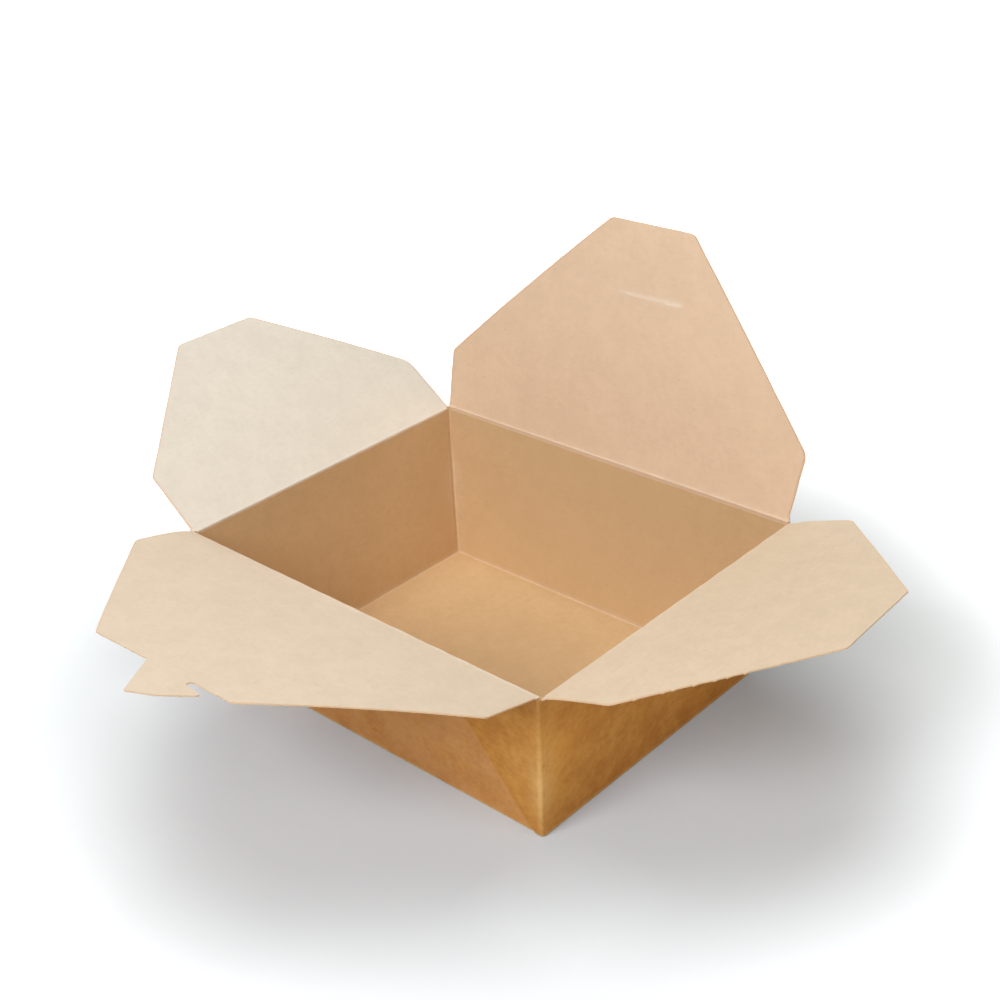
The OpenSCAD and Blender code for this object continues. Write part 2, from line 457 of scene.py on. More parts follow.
def web_profile(z, slope, board):
    """A web's middle line at one height, in plan, for a board of the given thickness there.

    The board comes off the side wall, rounds the corner, runs along the long wall as the outer layer, turns
    back on itself at the diagonal fold and runs to the corner again as the inner layer. Returns these five
    stretches, the side wall's distance from the middle, and how far the layers are pressed together.
    """
    low = max(0.0, BASE_Z + FOLD_R - z)
    tuck = FOLD_R - math.sqrt(max(FOLD_R ** 2 - low ** 2, 0.0))
    pressed = LAYER_LOW + (1 - LAYER_LOW) * float(smooth((z - 0.5) / 7))
    wall_p = BASE_L / 2 + SLOPE_L * (z - BASE_Z) - tuck
    wall_q = BASE_W / 2 + SLOPE_W * (z - BASE_Z) - tuck
    inner_q = wall_q + LAYER * board * pressed
    outer_q = wall_q + 2 * LAYER * board * pressed
    turn_r = (outer_q - inner_q) / 2
    fold_p = WEB_X - slope * z
    start = np.linspace(0, 1, 7)
    lead = np.stack([
        wall_p - 0.06 + 0.075 * smooth(start),
        wall_q - 2.6 + (outer_q - CORNER_R - wall_q + 2.6) * start,
    ], -1)
    a = np.linspace(0, math.pi / 2, 9)[1:]
    bend = np.stack([
        wall_p + 0.015 - CORNER_R + CORNER_R * np.cos(a),
        outer_q - CORNER_R + CORNER_R * np.sin(a),
    ], -1)
    along = np.concatenate([np.linspace(0, 0.12, 6)[1:], np.linspace(0.12, 0.9, 17)[1:],
                            np.linspace(0.9, 1, 5)[1:]])
    outer = np.stack([wall_p - CORNER_R + (fold_p - wall_p + CORNER_R) * along,
                      np.full(len(along), outer_q)], -1)
    a = np.linspace(0, math.pi, 9)[1:]
    fold = np.stack([fold_p - turn_r * np.sin(a), (inner_q + outer_q) / 2 + turn_r * np.cos(a)], -1)
    inner = np.stack([fold_p + (wall_p - 1.3 - fold_p) * along, np.full(len(along), inner_q)], -1)
    return (lead, bend, outer, fold, inner), wall_p, pressed


def web(end, side):
    """One folded corner web: its profile carried up the corner, and its masks."""
    board = BOARD / math.cos(math.atan(SLOPE_W))
    heights = np.concatenate([[0.45, 0.7, 1.1, 1.7, 2.4], np.linspace(3.2, WEB_TOP, 46)])
    slope = web_slope()
    rows, halves = [], []
    for z in heights:
        stretches, wall_p, pressed = web_profile(z, slope, board)
        path = np.concatenate(stretches)
        level = np.full(len(path), z)
        path[:, 1] += long_bow(path[:, 0], level) * smooth((wall_p - 1 - path[:, 0]) / 6)
        rows.append(np.column_stack([path, level]))
        halves.append(np.full(len(path), BOARD / 2 * pressed))
    mid = np.array(rows)
    steps = np.linalg.norm(np.diff(mid, axis=1), axis=2)
    run = np.concatenate([np.zeros((len(mid), 1)), np.cumsum(steps, axis=1)], axis=1)
    lead, bend, outer, fold = (len(stretch) for stretch in stretches[:4])
    corner_at = lead + bend // 2
    fold_at = lead + bend + outer + fold // 2
    past_corner = run - run[:, corner_at:corner_at + 1]
    to_corner = np.abs(past_corner)
    to_fold = np.abs(run - run[:, fold_at:fold_at + 1])
    # The fold's rubbed core with its painted highlight, a faint pale line along the diagonal fold, and
    # painted light beside the corner
    wear_and_highlight = np.maximum(corner_glow(to_corner, mid[..., 2]), 0.12 * np.exp(-(to_fold / 0.9) ** 2))
    wear_and_highlight = np.maximum(wear_and_highlight, 0.2 * corner_light(to_corner, mid[..., 2]))
    wear_and_highlight[:, fold_at + fold // 2:] = 0
    on_side = 1 - smooth((past_corner + 1) / 2)
    # Painted light: the same golden patch on the web's side-wall part
    painted_corner_light = corner_light(to_corner, mid[..., 2]) * on_side
    rise = WEB_RISE * smooth((mid[..., 2] - WEB_RISE_FROM) / (WEB_TOP - WEB_RISE_FROM))
    rise *= 1 - smooth((to_corner - 1.0) / 2.4)
    rise[:, fold_at:] = 0
    mid += rise[..., None] * np.array([SLOPE_L, SLOPE_W, 1.0])
    mid[..., 0] *= end
    mid[..., 1] *= side
    normal = grid_normals(mid)
    if (normal[:, 2, 0] * end).mean() < 0:
        normal = -normal
    points, faces, kinds = shell(mid, normal, np.array(halves))
    sheet = np.stack([run + 60 * end + 130 * side, mid[..., 2]], -1)
    return points, faces, kinds, {"wear_and_highlight": both(wear_and_highlight), "painted_corner_light": both(painted_corner_light)}, both(sheet)


# Flaps

# The back flap's slit, and how far the board stands up beside it
SLIT_W = 0.04
SLIT_LEN = 35.4
SLIT_REACH = 65.0
SLIT_MIDDLE = 3.8
LIP = 0.03
# The front flap's tab: its neck and undercut, and its hook, bend and point as x and the way past the tip
NECK_LEFT = -6.6
NECK_RIGHT = 14.1
NOTCH = 2.3
NOTCH_R = 1.12
HOOK = (23.3, 3.4)
BEND = (13.6, 12.6)
APEX = (4.9, 17.3)
BEND_R = 9.0
HOOK_R = 0.9
# Width of the rubbed line along a cut edge
EDGE_LINE = 1.1
# Height and half width of the nicks that held the blank in its sheet
NICK = 0.95
NICK_HALF = 0.4
# Rows beside the slit, from its middle, and the share by which columns draw in past it
SLIT_ROWS = (-1.6, -1, -0.5, -SLIT_W / 2, SLIT_W / 2, 0.35, 0.7, 1.1, 1.6, 2.2)
DRAW_IN = 0.45
# Largest step between rows of a flap, and between points of the tab's edge
ROW_STEP = 1.3
TAB_STEP = 1.2


class Flap:
    """A lid flap: where its crease is, how it stands open, and its outline when laid flat.

    Flat coordinates are x, along the crease from its middle, and v, from the crease. The sheet leaves the
    crease at an angle and curls evenly, so that its rise and its run are the integrals of the sine and the
    cosine of that angle, and a twist opens one end further than the other. strip and tip give the corners
    of the left and the right edge. The tip may slant: v is then stretched by a share that grows along x.
    The left edge may have nicks.
    """

    def __init__(self, joint, inward, half, strip, tip, opening, curl, twist=0.0, slant=0.0,
                 bulges=(), nicks=()):
        self.origin = np.array(joint["pos_m"]) / MM
        self.inward = np.array(inward, float)
        self.along = np.abs(np.array([inward[1], inward[0], 0.0]))
        self.half = half
        self.strip = strip
        self.tip = tip
        self.reach = tip[0][1]
        self.opening = math.radians(opening)
        self.curl = math.radians(curl)
        self.twist = math.radians(twist)
        self.slant = slant
        self.bulges = bulges
        self.nicks = nicks
        self.wall = unit(np.array([*(-self.inward[:2] * SLOPE_L), 1.0]))

    def plain(self, x, v):
        """The curled sheet without its bulges, and its outer normal. Before the crease it is the wall."""
        up = np.maximum(v, 0)
        bend = self.curl / self.reach
        first = self.opening + self.twist * x / self.half - self.curl / 2
        angle = first + bend * up
        run = ((np.sin(angle) - np.sin(first)) / bend)[..., None]
        rise = ((np.cos(first) - np.cos(angle)) / bend)[..., None]
        sky = np.array([0, 0, 1.0])
        place = self.origin + x[..., None] * self.along + run * self.inward + rise * sky
        place = place + np.minimum(v, 0)[..., None] * self.wall
        out = -np.sin(angle)[..., None] * self.inward + np.cos(angle)[..., None] * sky
        return place, out

    def bulge(self, x, v):
        """How far the sheet stands off its plain curl, towards the inner face: soft humps by the crease."""
        total = WAVE * ripple(x + self.origin[0], v + self.origin[1], 60, 21) * smooth(v / 15)
        for at, height, width, length in self.bulges:
            rise = np.maximum(v, 0) / length
            total = total + height * np.exp(-((x - at) / width) ** 2) * rise * np.exp(1 - rise)
        return total

    def place(self, x, v):
        """A point of the middle surface from its flat coordinates."""
        v = v * (1 + self.slant * x / self.reach * smooth(v / self.reach))
        place, out = self.plain(x, v)
        return place - self.bulge(x, v)[..., None] * out

    def surface(self, x, v):
        """Middle surface and outer normals, the normals from two short steps on the surface."""
        step = 0.05
        mid = self.place(x, v)
        normal = unit(np.cross(self.place(x + step, v) - mid, self.place(x, v + step) - mid))
        _, out = self.plain(x, v)
        return mid, normal * np.sign((normal * out).sum(-1, keepdims=True))

    def edge(self, side):
        """Distance from the middle at each distance from the crease, along the left or the right edge."""
        strip, tip = self.strip[side], self.tip[side]
        path = rounded_path([[self.half, 0, 0], strip, tip, [0, self.reach, 0]])[:-1]
        return path[:, 0], path[:, 1]


def flap_rows(marks, extra=()):
    """Distances from the crease at which a flap has a row: its outline's own, and even steps between."""
    marks = np.unique(np.round(np.concatenate([marks[marks > 4], extra]), 3))
    rows = [CREASE_STOP, 1.4, 2.2, 3.2]
    for b in marks:
        a = rows[-1]
        count = max(1, int(math.ceil((b - a) / ROW_STEP)))
        rows.extend(a + (b - a) * np.arange(1, count + 1) / count)
    return np.array(rows)


def spread_between(lines, counts):
    """Columns between neighbouring lines, evenly spread in each gap. A line has one value a row."""
    cols = [lines[0][:, None]]
    for a, b, n in zip(lines, lines[1:], counts):
        share = np.arange(1, n + 1) / n
        cols.append(a[:, None] + (b - a)[:, None] * share)
    return np.concatenate(cols, axis=1)


def tab_edge(base):
    """The hooked side of the tab, from the tip's edge round the undercut and the hook to the point."""
    path = rounded_path([
        [NECK_RIGHT + 3, base, 0],
        [NECK_RIGHT, base, NOTCH_R],
        [NECK_RIGHT, base + NOTCH, NOTCH_R],
        [HOOK[0], base + HOOK[1], HOOK_R],
        [BEND[0], base + BEND[1], BEND_R],
        [APEX[0], base + APEX[1], HOOK_R],
        [NECK_LEFT, base, 0],
    ])[1:-1]
    fine = [path[0]]
    for a, b in zip(path, path[1:]):
        n = max(1, int(math.dist(a, b) / TAB_STEP))
        fine.extend(a + (b - a) * k / n for k in range(1, n + 1))
    return np.array(fine)


def with_tab(x, v, keep, lead, cols, base):
    """Adds the tab's rows past the tip: each joins a point of its straight edge to one of its hook's."""
    hook = tab_edge(base)
    done = np.concatenate([[0], np.cumsum(np.linalg.norm(np.diff(hook, axis=0), axis=1))])
    share = np.maximum.accumulate((hook[:, 1] - base) / (hook[-1, 1] - base))
    share = (0.7 * share + 0.3 * done / done[-1])[:, None]
    neck = np.array([NECK_LEFT, base])
    straight = neck + (hook[-1] - neck) * 0.95 * share
    after = x.shape[1] - lead - cols - 1
    part = np.concatenate([np.zeros(lead), np.linspace(0, 1, cols + 1), np.ones(after)])
    rows = straight[1:, None] + (hook - straight)[1:, None] * part[:, None]
    lines = np.zeros((len(rows), keep.shape[1]), bool)
    lines[:, lead:lead + cols] = True
    x = np.concatenate([x, rows[..., 0]])
    v = np.concatenate([v, rows[..., 1]])
    return x, v, np.concatenate([keep, lines])


def slit_lip(x, off):
    """How far the board stands up beside the slit, most along its right half: off is the way past it."""
    across = np.clip(2 * (x - SLIT_MIDDLE) / SLIT_LEN, -1, 1)
    across = (0.75 + 0.25 * across) * (1 - across ** 2) ** 0.6
    return LIP * across * np.where(off < 0, np.exp(-(off / 4.5) ** 2), -0.1 * np.exp(-(off / 3) ** 2))


def slit_highlight(x, off):
    """Painted highlight over the slit, where its raised lip catches the light: a band, thin at its left end,
    that grows to the right.
    """
    along = np.clip((x - SLIT_MIDDLE) / SLIT_LEN + 0.5, 0, 1)
    band = 2.1 * smooth(along / 0.3) * (1 - smooth((along - 0.93) / 0.07))
    return band * np.exp(-((off - 0.4) / (0.45 + 0.7 * along)) ** 2)


def flap_parts(flap, has_slit=False, has_tab=False):
    """The flap's flat grid, with its slit or its tab, put on its curled surface as a closed sheet."""
    edges = flap.edge(0), flap.edge(1)
    marks = np.concatenate([edges[0][1], edges[1][1], [flap.reach - EDGE_LINE]])
    slit_rows = [SLIT_REACH + s for s in SLIT_ROWS]
    nick_rows = [n + NICK_HALF * s for n in flap.nicks for s in (-2, -1, 0, 1, 2)]
    v = flap_rows(marks, (slit_rows if has_slit else []) + nick_rows)
    left, right = (np.interp(v, e[1], e[0]) for e in edges)
    left = -left + EDGE_WANDER * ripple(v, 0 * v, 6, 31)
    right = right + EDGE_WANDER * ripple(v, 0 * v, 7, 34)
    mids = [-flap.tip[0][0] / 3, flap.tip[1][0] / 3]
    ease = np.ones_like(v)
    if has_tab:
        mids = [NECK_LEFT, tab_edge(flap.reach)[0, 0]]
    if has_slit:
        mids = [SLIT_MIDDLE - SLIT_LEN / 2, SLIT_MIDDLE + SLIT_LEN / 2]
        ease = 1 - DRAW_IN * smooth((v - SLIT_REACH - 2) / (flap.reach - SLIT_REACH - 2))
    nicked = left - sum((NICK * np.exp(-((v - n) / NICK_HALF) ** 2) for n in flap.nicks), np.zeros_like(v))
    lines = [nicked, left + EDGE_LINE, mids[0] * ease, mids[1] * ease, right - EDGE_LINE, right]
    counts = (1, 24, 16, 24, 1)
    x = spread_between(lines, counts)
    v = np.repeat(v[:, None], x.shape[1], axis=1)
    lead, cols = counts[0] + counts[1], counts[2]
    # The tip's cut wanders a little, and the rows near it move along, so that none cross
    wander = EDGE_WANDER * ripple(x, 0 * x, 6, 35) * smooth((v - flap.reach + 3) / 3)
    if has_tab:
        wander[:, lead:lead + cols + 1] = 0
    v = v + wander
    keep = np.ones((len(v) - 1, x.shape[1] - 1), bool)
    if has_slit:
        row = np.searchsorted(v[:, 0], SLIT_REACH - SLIT_W / 2 - 1e-3)
        keep[row, lead:lead + cols] = False
    edge = np.zeros(x.shape)
    edge[:, [0, -1]] = 1
    edge[-1] = 1
    if has_tab:
        flat_rows = len(x)
        edge[-1, lead + 1:lead + cols] = 0
        x, v, keep = with_tab(x, v, keep, lead, cols, flap.reach)
        on_tab = np.zeros((len(x) - flat_rows, x.shape[1]))
        on_tab[:, [lead, lead + cols]] = 1
        on_tab[-1] = 1
        edge = np.concatenate([edge, on_tab])
    mid, normal = flap.surface(x, v)
    if has_slit:
        off = v - SLIT_REACH
        mid = mid - normal * slit_lip(x, off)[..., None]
    points, faces, kinds = shell(mid, normal, BOARD / 2, keep=keep)
    # Rubbed board along the crease, and over the slit a painted highlight
    wear_and_highlight = np.exp(-(v / 1.2) ** 2)
    if has_slit:
        wear_and_highlight = np.maximum(wear_and_highlight, slit_highlight(x, off))
        # The knife's faint line shows the inner face, not a cut edge
        middles = both(np.stack([x, v], -1))[faces].mean(axis=1)
        beside = np.abs(middles - (SLIT_MIDDLE, SLIT_REACH)) < (SLIT_LEN / 2 + 1, 1)
        kinds[beside.all(axis=1) & (kinds == 2)] = 1
    masks = {"wear_and_highlight": both(wear_and_highlight), "rim": both(edge)}
    return points, faces, kinds, masks, both(np.stack([x, v], -1))


def crease_parts(flap):
    """The creased strip between wall and flap.

    It is the two surfaces averaged over a short way, which rounds the fold. The creasing rule has pressed
    a fine bead up on the inner face.
    """
    x = np.linspace(-flap.half - STRIP_OVER, flap.half + STRIP_OVER, 121)
    v = np.linspace(-STRIP_REACH, STRIP_REACH, 33)
    xx, vv = np.meshgrid(x, v)
    kernel = np.linspace(-1, 1, 13)
    weight = np.cos(kernel * math.pi / 2) ** 2
    mid = sum(w * flap.place(xx, vv + FOLD_SOFT * k) for k, w in zip(kernel, weight)) / weight.sum()
    normal = grid_normals(mid)
    _, out = flap.plain(xx, vv)
    normal *= np.sign((normal[-1] * out[-1]).sum(-1).mean())
    proud = STRIP_PROUD - 0.1 * smooth((np.abs(vv) - STRIP_REACH + 0.7) / 0.7)
    uneven = 1 + 0.25 * ripple(xx, 0 * xx, 9, 41)
    bead = CREASE_BEAD * uneven * np.exp(-(vv / 0.5) ** 2)
    points, faces, kinds = shell(mid, normal, BOARD / 2 + proud, BOARD / 2 + proud + bead)
    wear_and_highlight = np.exp(-(vv / 0.6) ** 2) * np.clip(uneven, 0, 1)
    return points, faces, kinds, {"wear_and_highlight": both(wear_and_highlight)}, both(np.stack([xx, vv], -1))


# Board

# Height of the fibres' relief
RELIEF = 0.03


def math_node(nodes, links, operation, a, b=None, clamp=False):
    """A Math node on two sockets or values, and its result."""
    n = nodes.new("ShaderNodeMath")
    n.operation = operation
    n.use_clamp = clamp
    for socket, value in zip(n.inputs, (a, b)):
        if value is None:
            continue
        if isinstance(value, (int, float)):
            socket.default_value = value
        else:
            links.new(value, socket)
    return n.outputs[0]


def mix_colour(nodes, links, factor, a, b):
    """A colour Mix node, and its result. Each of factor, a and b is a socket or a plain value."""
    n = nodes.new("ShaderNodeMix")
    n.data_type = "RGBA"
    for socket, value in zip((n.inputs[0], n.inputs[6], n.inputs[7]), (factor, a, b)):
        if isinstance(value, (int, float, tuple)):
            socket.default_value = value
        else:
            links.new(value, socket)
    return n.outputs[2]


def noise(nodes, links, vector, scale, detail, rough=0.5):
    """A noise texture's value at a scale in waves per metre."""
    n = nodes.new("ShaderNodeTexNoise")
    n.inputs["Scale"].default_value = scale
    n.inputs["Detail"].default_value = detail
    n.inputs["Roughness"].default_value = rough
    links.new(vector, n.inputs["Vector"])
    return n.outputs[0]


def stretch(nodes, links, vector, turn, scale):
    """The sheet's coordinates turned and scaled unequally, so that a noise on them runs in streaks."""
    n = nodes.new("ShaderNodeMapping")
    n.inputs["Rotation"].default_value = (0, 0, math.radians(turn))
    n.inputs["Scale"].default_value = scale
    links.new(vector, n.inputs["Vector"])
    return n.outputs[0]


def ramp(nodes, links, value, low, high):
    """A value from 0 at low to 1 at high."""
    n = nodes.new("ShaderNodeMapRange")
    n.interpolation_type = "SMOOTHSTEP"
    n.inputs["From Min"].default_value = low
    n.inputs["From Max"].default_value = high
    links.new(value, n.inputs["Value"])
    return n.outputs["Result"]


def effect_group(name, inputs, outputs):
    """A new shader node group, with its Input and its Output node. Its sockets are given as label: type."""
    g = bpy.data.node_groups.new(name, "ShaderNodeTree")
    for way, sockets in (("INPUT", inputs), ("OUTPUT", outputs)):
        for label, kind in sockets.items():
            g.interface.new_socket(label, in_out=way, socket_type="NodeSocket" + kind)
    return g, g.nodes.new("NodeGroupInput"), g.nodes.new("NodeGroupOutput")


def fibre_group():
    """Kraft pulp: cloudy mottle, fibres lying every way in the sheet, and sparse dark specks.

    Puts out the tinted colour, the height of the surface and its roughness.
    """
    g, inp, out = effect_group(
        "kraft_pulp",
        {"Sheet": "Vector", "Place": "Vector", "Colour": "Color", "Pale": "Color", "Dark": "Color",
         "Mottle": "Float", "Fibres": "Float", "Specks": "Float"},
        {"Colour": "Color", "Height": "Float", "Roughness": "Float"})
    nodes, links = g.nodes, g.links
    cloud = noise(nodes, links, inp.outputs["Place"], 26, 2)
    blotch = noise(nodes, links, inp.outputs["Place"], 105, 3, 0.55)
    patch = noise(nodes, links, inp.outputs["Place"], 420, 4, 0.6)
    grain = noise(nodes, links, inp.outputs["Place"], 1500, 2)
    colour = inp.outputs["Colour"]
    clouds = (
        (cloud, 0.3, 0.75, 0.7, "Pale"),
        (blotch, 0.32, 0.8, 0.8, "Dark"),
        (blotch, 0.55, 0.2, 0.5, "Pale"),
        (patch, 0.35, 0.85, 0.6, "Dark"),
    )
    for field, low, high, share, tint in clouds:
        spread = ramp(nodes, links, field, low, high)
        for part in (inp.outputs["Mottle"], share):
            spread = math_node(nodes, links, "MULTIPLY", spread, part)
        colour = mix_colour(nodes, links, spread, colour, inp.outputs[tint])
    light, dark = None, None
    for turn, scale in ((12, (170, 1500, 1)), (74, (200, 1700, 1)), (133, (150, 1300, 1))):
        streak = noise(nodes, links, stretch(nodes, links, inp.outputs["Sheet"], turn, scale), 1.0, 1.5)
        high, low = ramp(nodes, links, streak, 0.62, 0.74), ramp(nodes, links, streak, 0.38, 0.26)
        light = high if light is None else math_node(nodes, links, "MAXIMUM", light, high)
        dark = low if dark is None else math_node(nodes, links, "MAXIMUM", dark, low)
    dots = nodes.new("ShaderNodeTexVoronoi")
    dots.inputs["Scale"].default_value = 330
    links.new(inp.outputs["Place"], dots.inputs["Vector"])
    rare = math_node(nodes, links, "GREATER_THAN", dots.outputs["Color"], 0.86)
    dot = math_node(nodes, links, "MULTIPLY", ramp(nodes, links, dots.outputs["Distance"], 0.2, 0.08), rare)
    for mask, amount, tint in ((light, "Fibres", "Pale"), (dark, "Fibres", "Dark"), (dot, "Specks", "Dark")):
        share = math_node(nodes, links, "MULTIPLY", mask, inp.outputs[amount])
        colour = mix_colour(nodes, links, share, colour, inp.outputs[tint])
    links.new(colour, out.inputs["Colour"])
    height = math_node(nodes, links, "ADD", math_node(nodes, links, "MULTIPLY", grain, 0.5),
                       math_node(nodes, links, "SUBTRACT", light, dark))
    links.new(height, out.inputs["Height"])
    rough = math_node(nodes, links, "ADD", math_node(nodes, links, "MULTIPLY", patch, 0.14), 0.66)
    links.new(rough, out.inputs["Roughness"])
    return g


def tint_group():
    """Tinted board, for rubbed wear and for painted light: where a mask is high the surface takes the tint,
    broken up by a fine noise.
    """
    g, inp, out = effect_group(
        "tinted_board",
        {"Place": "Vector", "Mask": "Float", "Colour": "Color", "Rubbed": "Color", "Amount": "Float"},
        {"Colour": "Color"})
    nodes, links = g.nodes, g.links
    fine = ramp(nodes, links, noise(nodes, links, inp.outputs["Place"], 520, 4, 0.65), 0.3, 0.65)
    broad = ramp(nodes, links, noise(nodes, links, inp.outputs["Place"], 90, 3, 0.55), 0.3, 0.65)
    broken = math_node(nodes, links, "ADD", math_node(nodes, links, "MULTIPLY", fine, 0.4),
                       math_node(nodes, links, "MULTIPLY", broad, 0.45))
    broken = math_node(nodes, links, "ADD", broken, 0.3)
    mask = math_node(nodes, links, "MULTIPLY", inp.outputs["Mask"], broken)
    factor = math_node(nodes, links, "MULTIPLY", mask, inp.outputs["Amount"], clamp=True)
    result = mix_colour(nodes, links, factor, inp.outputs["Colour"], inp.outputs["Rubbed"])
    links.new(result, out.inputs["Colour"])
    return g


def srgb(colour):
    """Linear colour and alpha from an sRGB colour given from 0 to 255."""
    shares = [c / 255 for c in colour]
    return (*(c / 12.92 if c <= 0.04045 else ((c + 0.055) / 1.055) ** 2.4 for c in shares), 1)


def board_material(name, groups, colour, pale, dark, rubbed_and_lit, rim, mottle, fibres, specks, worn_and_lit, bump,
                   painted_bare_light=None, painted_corner_light=None):
    """Kraft board of one colour: pulp, rubbed folds and cut edges, painted light and highlights, matt, with a
    fibre relief.

    Where the colour of the painted light on the bare walls or beside the corners isn't given, the board keeps
    its colour under that mask.
    """
    pulp, rub = groups
    m = bpy.data.materials.new(name)
    m.use_nodes = True
    nodes, links = m.node_tree.nodes, m.node_tree.links
    shader = nodes["Principled BSDF"]
    place = nodes.new("ShaderNodeTexCoord").outputs["Object"]
    sheet = nodes.new("ShaderNodeUVMap")
    sheet.uv_map = "sheet"
    p = nodes.new("ShaderNodeGroup")
    p.node_tree = pulp
    links.new(sheet.outputs[0], p.inputs["Sheet"])
    links.new(place, p.inputs["Place"])
    for label, tint in (("Colour", colour), ("Pale", pale), ("Dark", dark)):
        p.inputs[label].default_value = srgb(tint)
    for label, amount in (("Mottle", mottle), ("Fibres", fibres), ("Specks", specks)):
        p.inputs[label].default_value = amount
    result = p.outputs["Colour"]
    # Painted light on the bare middle of the long walls and beside the corners, rubbed folds with their
    # painted highlights, and the line along cut edges
    tints = (
        ("painted_bare_light", painted_bare_light or colour, 0.5),
        ("painted_corner_light", painted_corner_light or colour, 0.9),
        ("wear_and_highlight", rubbed_and_lit, worn_and_lit),
        ("rim", rim, 0.65),
    )
    for attribute, tint, amount in tints:
        w = nodes.new("ShaderNodeGroup")
        w.node_tree = rub
        mask = nodes.new("ShaderNodeAttribute")
        mask.attribute_name = attribute
        links.new(place, w.inputs["Place"])
        links.new(mask.outputs["Fac"], w.inputs["Mask"])
        links.new(result, w.inputs["Colour"])
        w.inputs["Rubbed"].default_value = srgb(tint)
        w.inputs["Amount"].default_value = amount
        result = w.outputs["Colour"]
    links.new(result, shader.inputs["Base Color"])
    links.new(p.outputs["Roughness"], shader.inputs["Roughness"])
    shader.inputs["Specular IOR Level"].default_value = 0.3
    relief = nodes.new("ShaderNodeBump")
    relief.inputs["Strength"].default_value = bump
    relief.inputs["Distance"].default_value = RELIEF * MM
    links.new(p.outputs["Height"], relief.inputs["Height"])
    links.new(relief.outputs[0], shader.inputs["Normal"])
    return m


# Colours are sRGB ones, from 0 to 255
groups = fibre_group(), tint_group()
# The outer face's pale colour for rubbed folds also paints their highlights. The rosy and the golden colour
# are painted light on the bare walls and beside the corners
kraft_outside = board_material(
    "kraft_outside", groups, colour=(207, 140, 56), pale=(220, 161, 77), dark=(180, 110, 37),
    rubbed_and_lit=(248, 206, 134), rim=(226, 170, 110), painted_bare_light=(222, 168, 114), painted_corner_light=(238, 168, 74),
    mottle=0.75, fibres=0.3, specks=0.6, worn_and_lit=0.7, bump=0.35)
# Colour of an inner face, and of the rubbed line along its cut edges: the front, left, right and back flap's,
# and the tub's. The inner face is one board, and these are lit and shaded copies of it: painted light and
# shade
inner_tints = {
    "": ((231, 211, 185), (232, 192, 148)),
    "_cool_lit": ((233, 222, 205), (232, 176, 130)),
    "_less_lit": ((230, 207, 178), (232, 192, 148)),
    "_warm_shade": ((228, 197, 165), (206, 150, 106)),
    "_shaded": ((213, 178, 133), (232, 192, 148)),
}
inner_faces = {}
for label, (tint, line) in inner_tints.items():
    inner_faces[label] = board_material(
        "kraft_inside" + label, groups, colour=tint, pale=tuple(min(c + 6, 255) for c in tint),
        dark=tuple(c - 14 for c in tint), rubbed_and_lit=(238, 218, 196), rim=line,
        mottle=0.42, fibres=0.33, specks=0.7, worn_and_lit=0.4, bump=0.25)
kraft_cut = board_material(
    "kraft_cut", groups, colour=(226, 190, 150), pale=(236, 206, 170), dark=(204, 162, 120),
    rubbed_and_lit=(238, 206, 164), rim=(226, 190, 150),
    mottle=0.6, fibres=0.6, specks=0.3, worn_and_lit=0.3, bump=0.6)


def board_faces(label=""):
    """The three materials of a sheet: outer face, inner face and cut edge."""
    return [kraft_outside, inner_faces[label], kraft_cut]


# Pieces

# The tub's inner face is painted darker, as shade inside the box
tub = piece("tub_board", [tub_body()] + [web(e, s) for e in (-1, 1) for s in (-1, 1)], board_faces("_shaded"))
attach(tub, "tub")
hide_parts("tub")

LONG_HALF = RIM_L / 2 - CORNER_GAP
SIDE_HALF = RIM_W / 2 - CORNER_GAP
# Corners of an edge are [distance from the middle, distance from the crease, radius]
flaps = {
    "front": Flap(
        joints["front_crease"], (0, 1, 0), LONG_HALF,
        strip=([86.3, 24.2, 5], [85.1, 25.2, 3]), tip=([32.4, 77.2, 1.6], [32.4, 77.2, 4]),
        opening=167.6, curl=7.0, twist=-0.6, slant=-0.03, bulges=[(-LONG_HALF, 1.1, 34, 9)]),
    "back": Flap(
        joints["back_crease"], (0, -1, 0), LONG_HALF,
        strip=([85.2, 24.6, 3], [84.9, 25, 6]), tip=([18.3, 92.6, 4], [18.1, 92.6, 4]),
        opening=110.0, curl=6.5, twist=5.0),
    "left": Flap(
        joints["left_crease"], (1, 0, 0), SIDE_HALF,
        strip=([67.6, 27.6, 3], [68.3, 27.2, 9]), tip=([18.1, 77.5, 4], [19.1, 77.5, 4]),
        opening=146.7, curl=7.5, twist=-0.5),
    "right": Flap(
        joints["right_crease"], (-1, 0, 0), SIDE_HALF,
        strip=([67.6, 26.8, 3], [68.3, 27.6, 6]), tip=([18.2, 77.5, 3], [18.8, 77.5, 1.6]),
        opening=162.6, curl=7.5, twist=-1.6, slant=-0.02,
        bulges=[(-SIDE_HALF, 0.5, 30, 9), (SIDE_HALF, 0.6, 30, 12)],
        nicks=(32.5, 38.5, 40.7, 45.2, 49.5, 52.3, 56.0)),
}
features = {"front": {"has_tab": True}, "back": {"has_slit": True}}
# Painted light on the one inner board: the left flap's face is the palest of the four, as if in cooler,
# brighter light, and the back one's the warmest and darkest, in painted shade
face_tints = {"left": "_cool_lit", "right": "_less_lit", "back": "_warm_shade"}
for side, flap in flaps.items():
    body = side + "_flap"
    faces = board_faces(face_tints.get(side, ""))
    sheet = piece(side + "_flap_board", [flap_parts(flap, **features.get(side, {}))], faces)
    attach(sheet, body)
    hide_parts(body)
    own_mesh(sheet)
    strip = piece(side + "_crease_fold", [crease_parts(flap)], faces)
    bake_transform(strip)

# Stage, lights and camera

FLOOR_COLOUR = (0.76, 0.80, 0.82, 1)
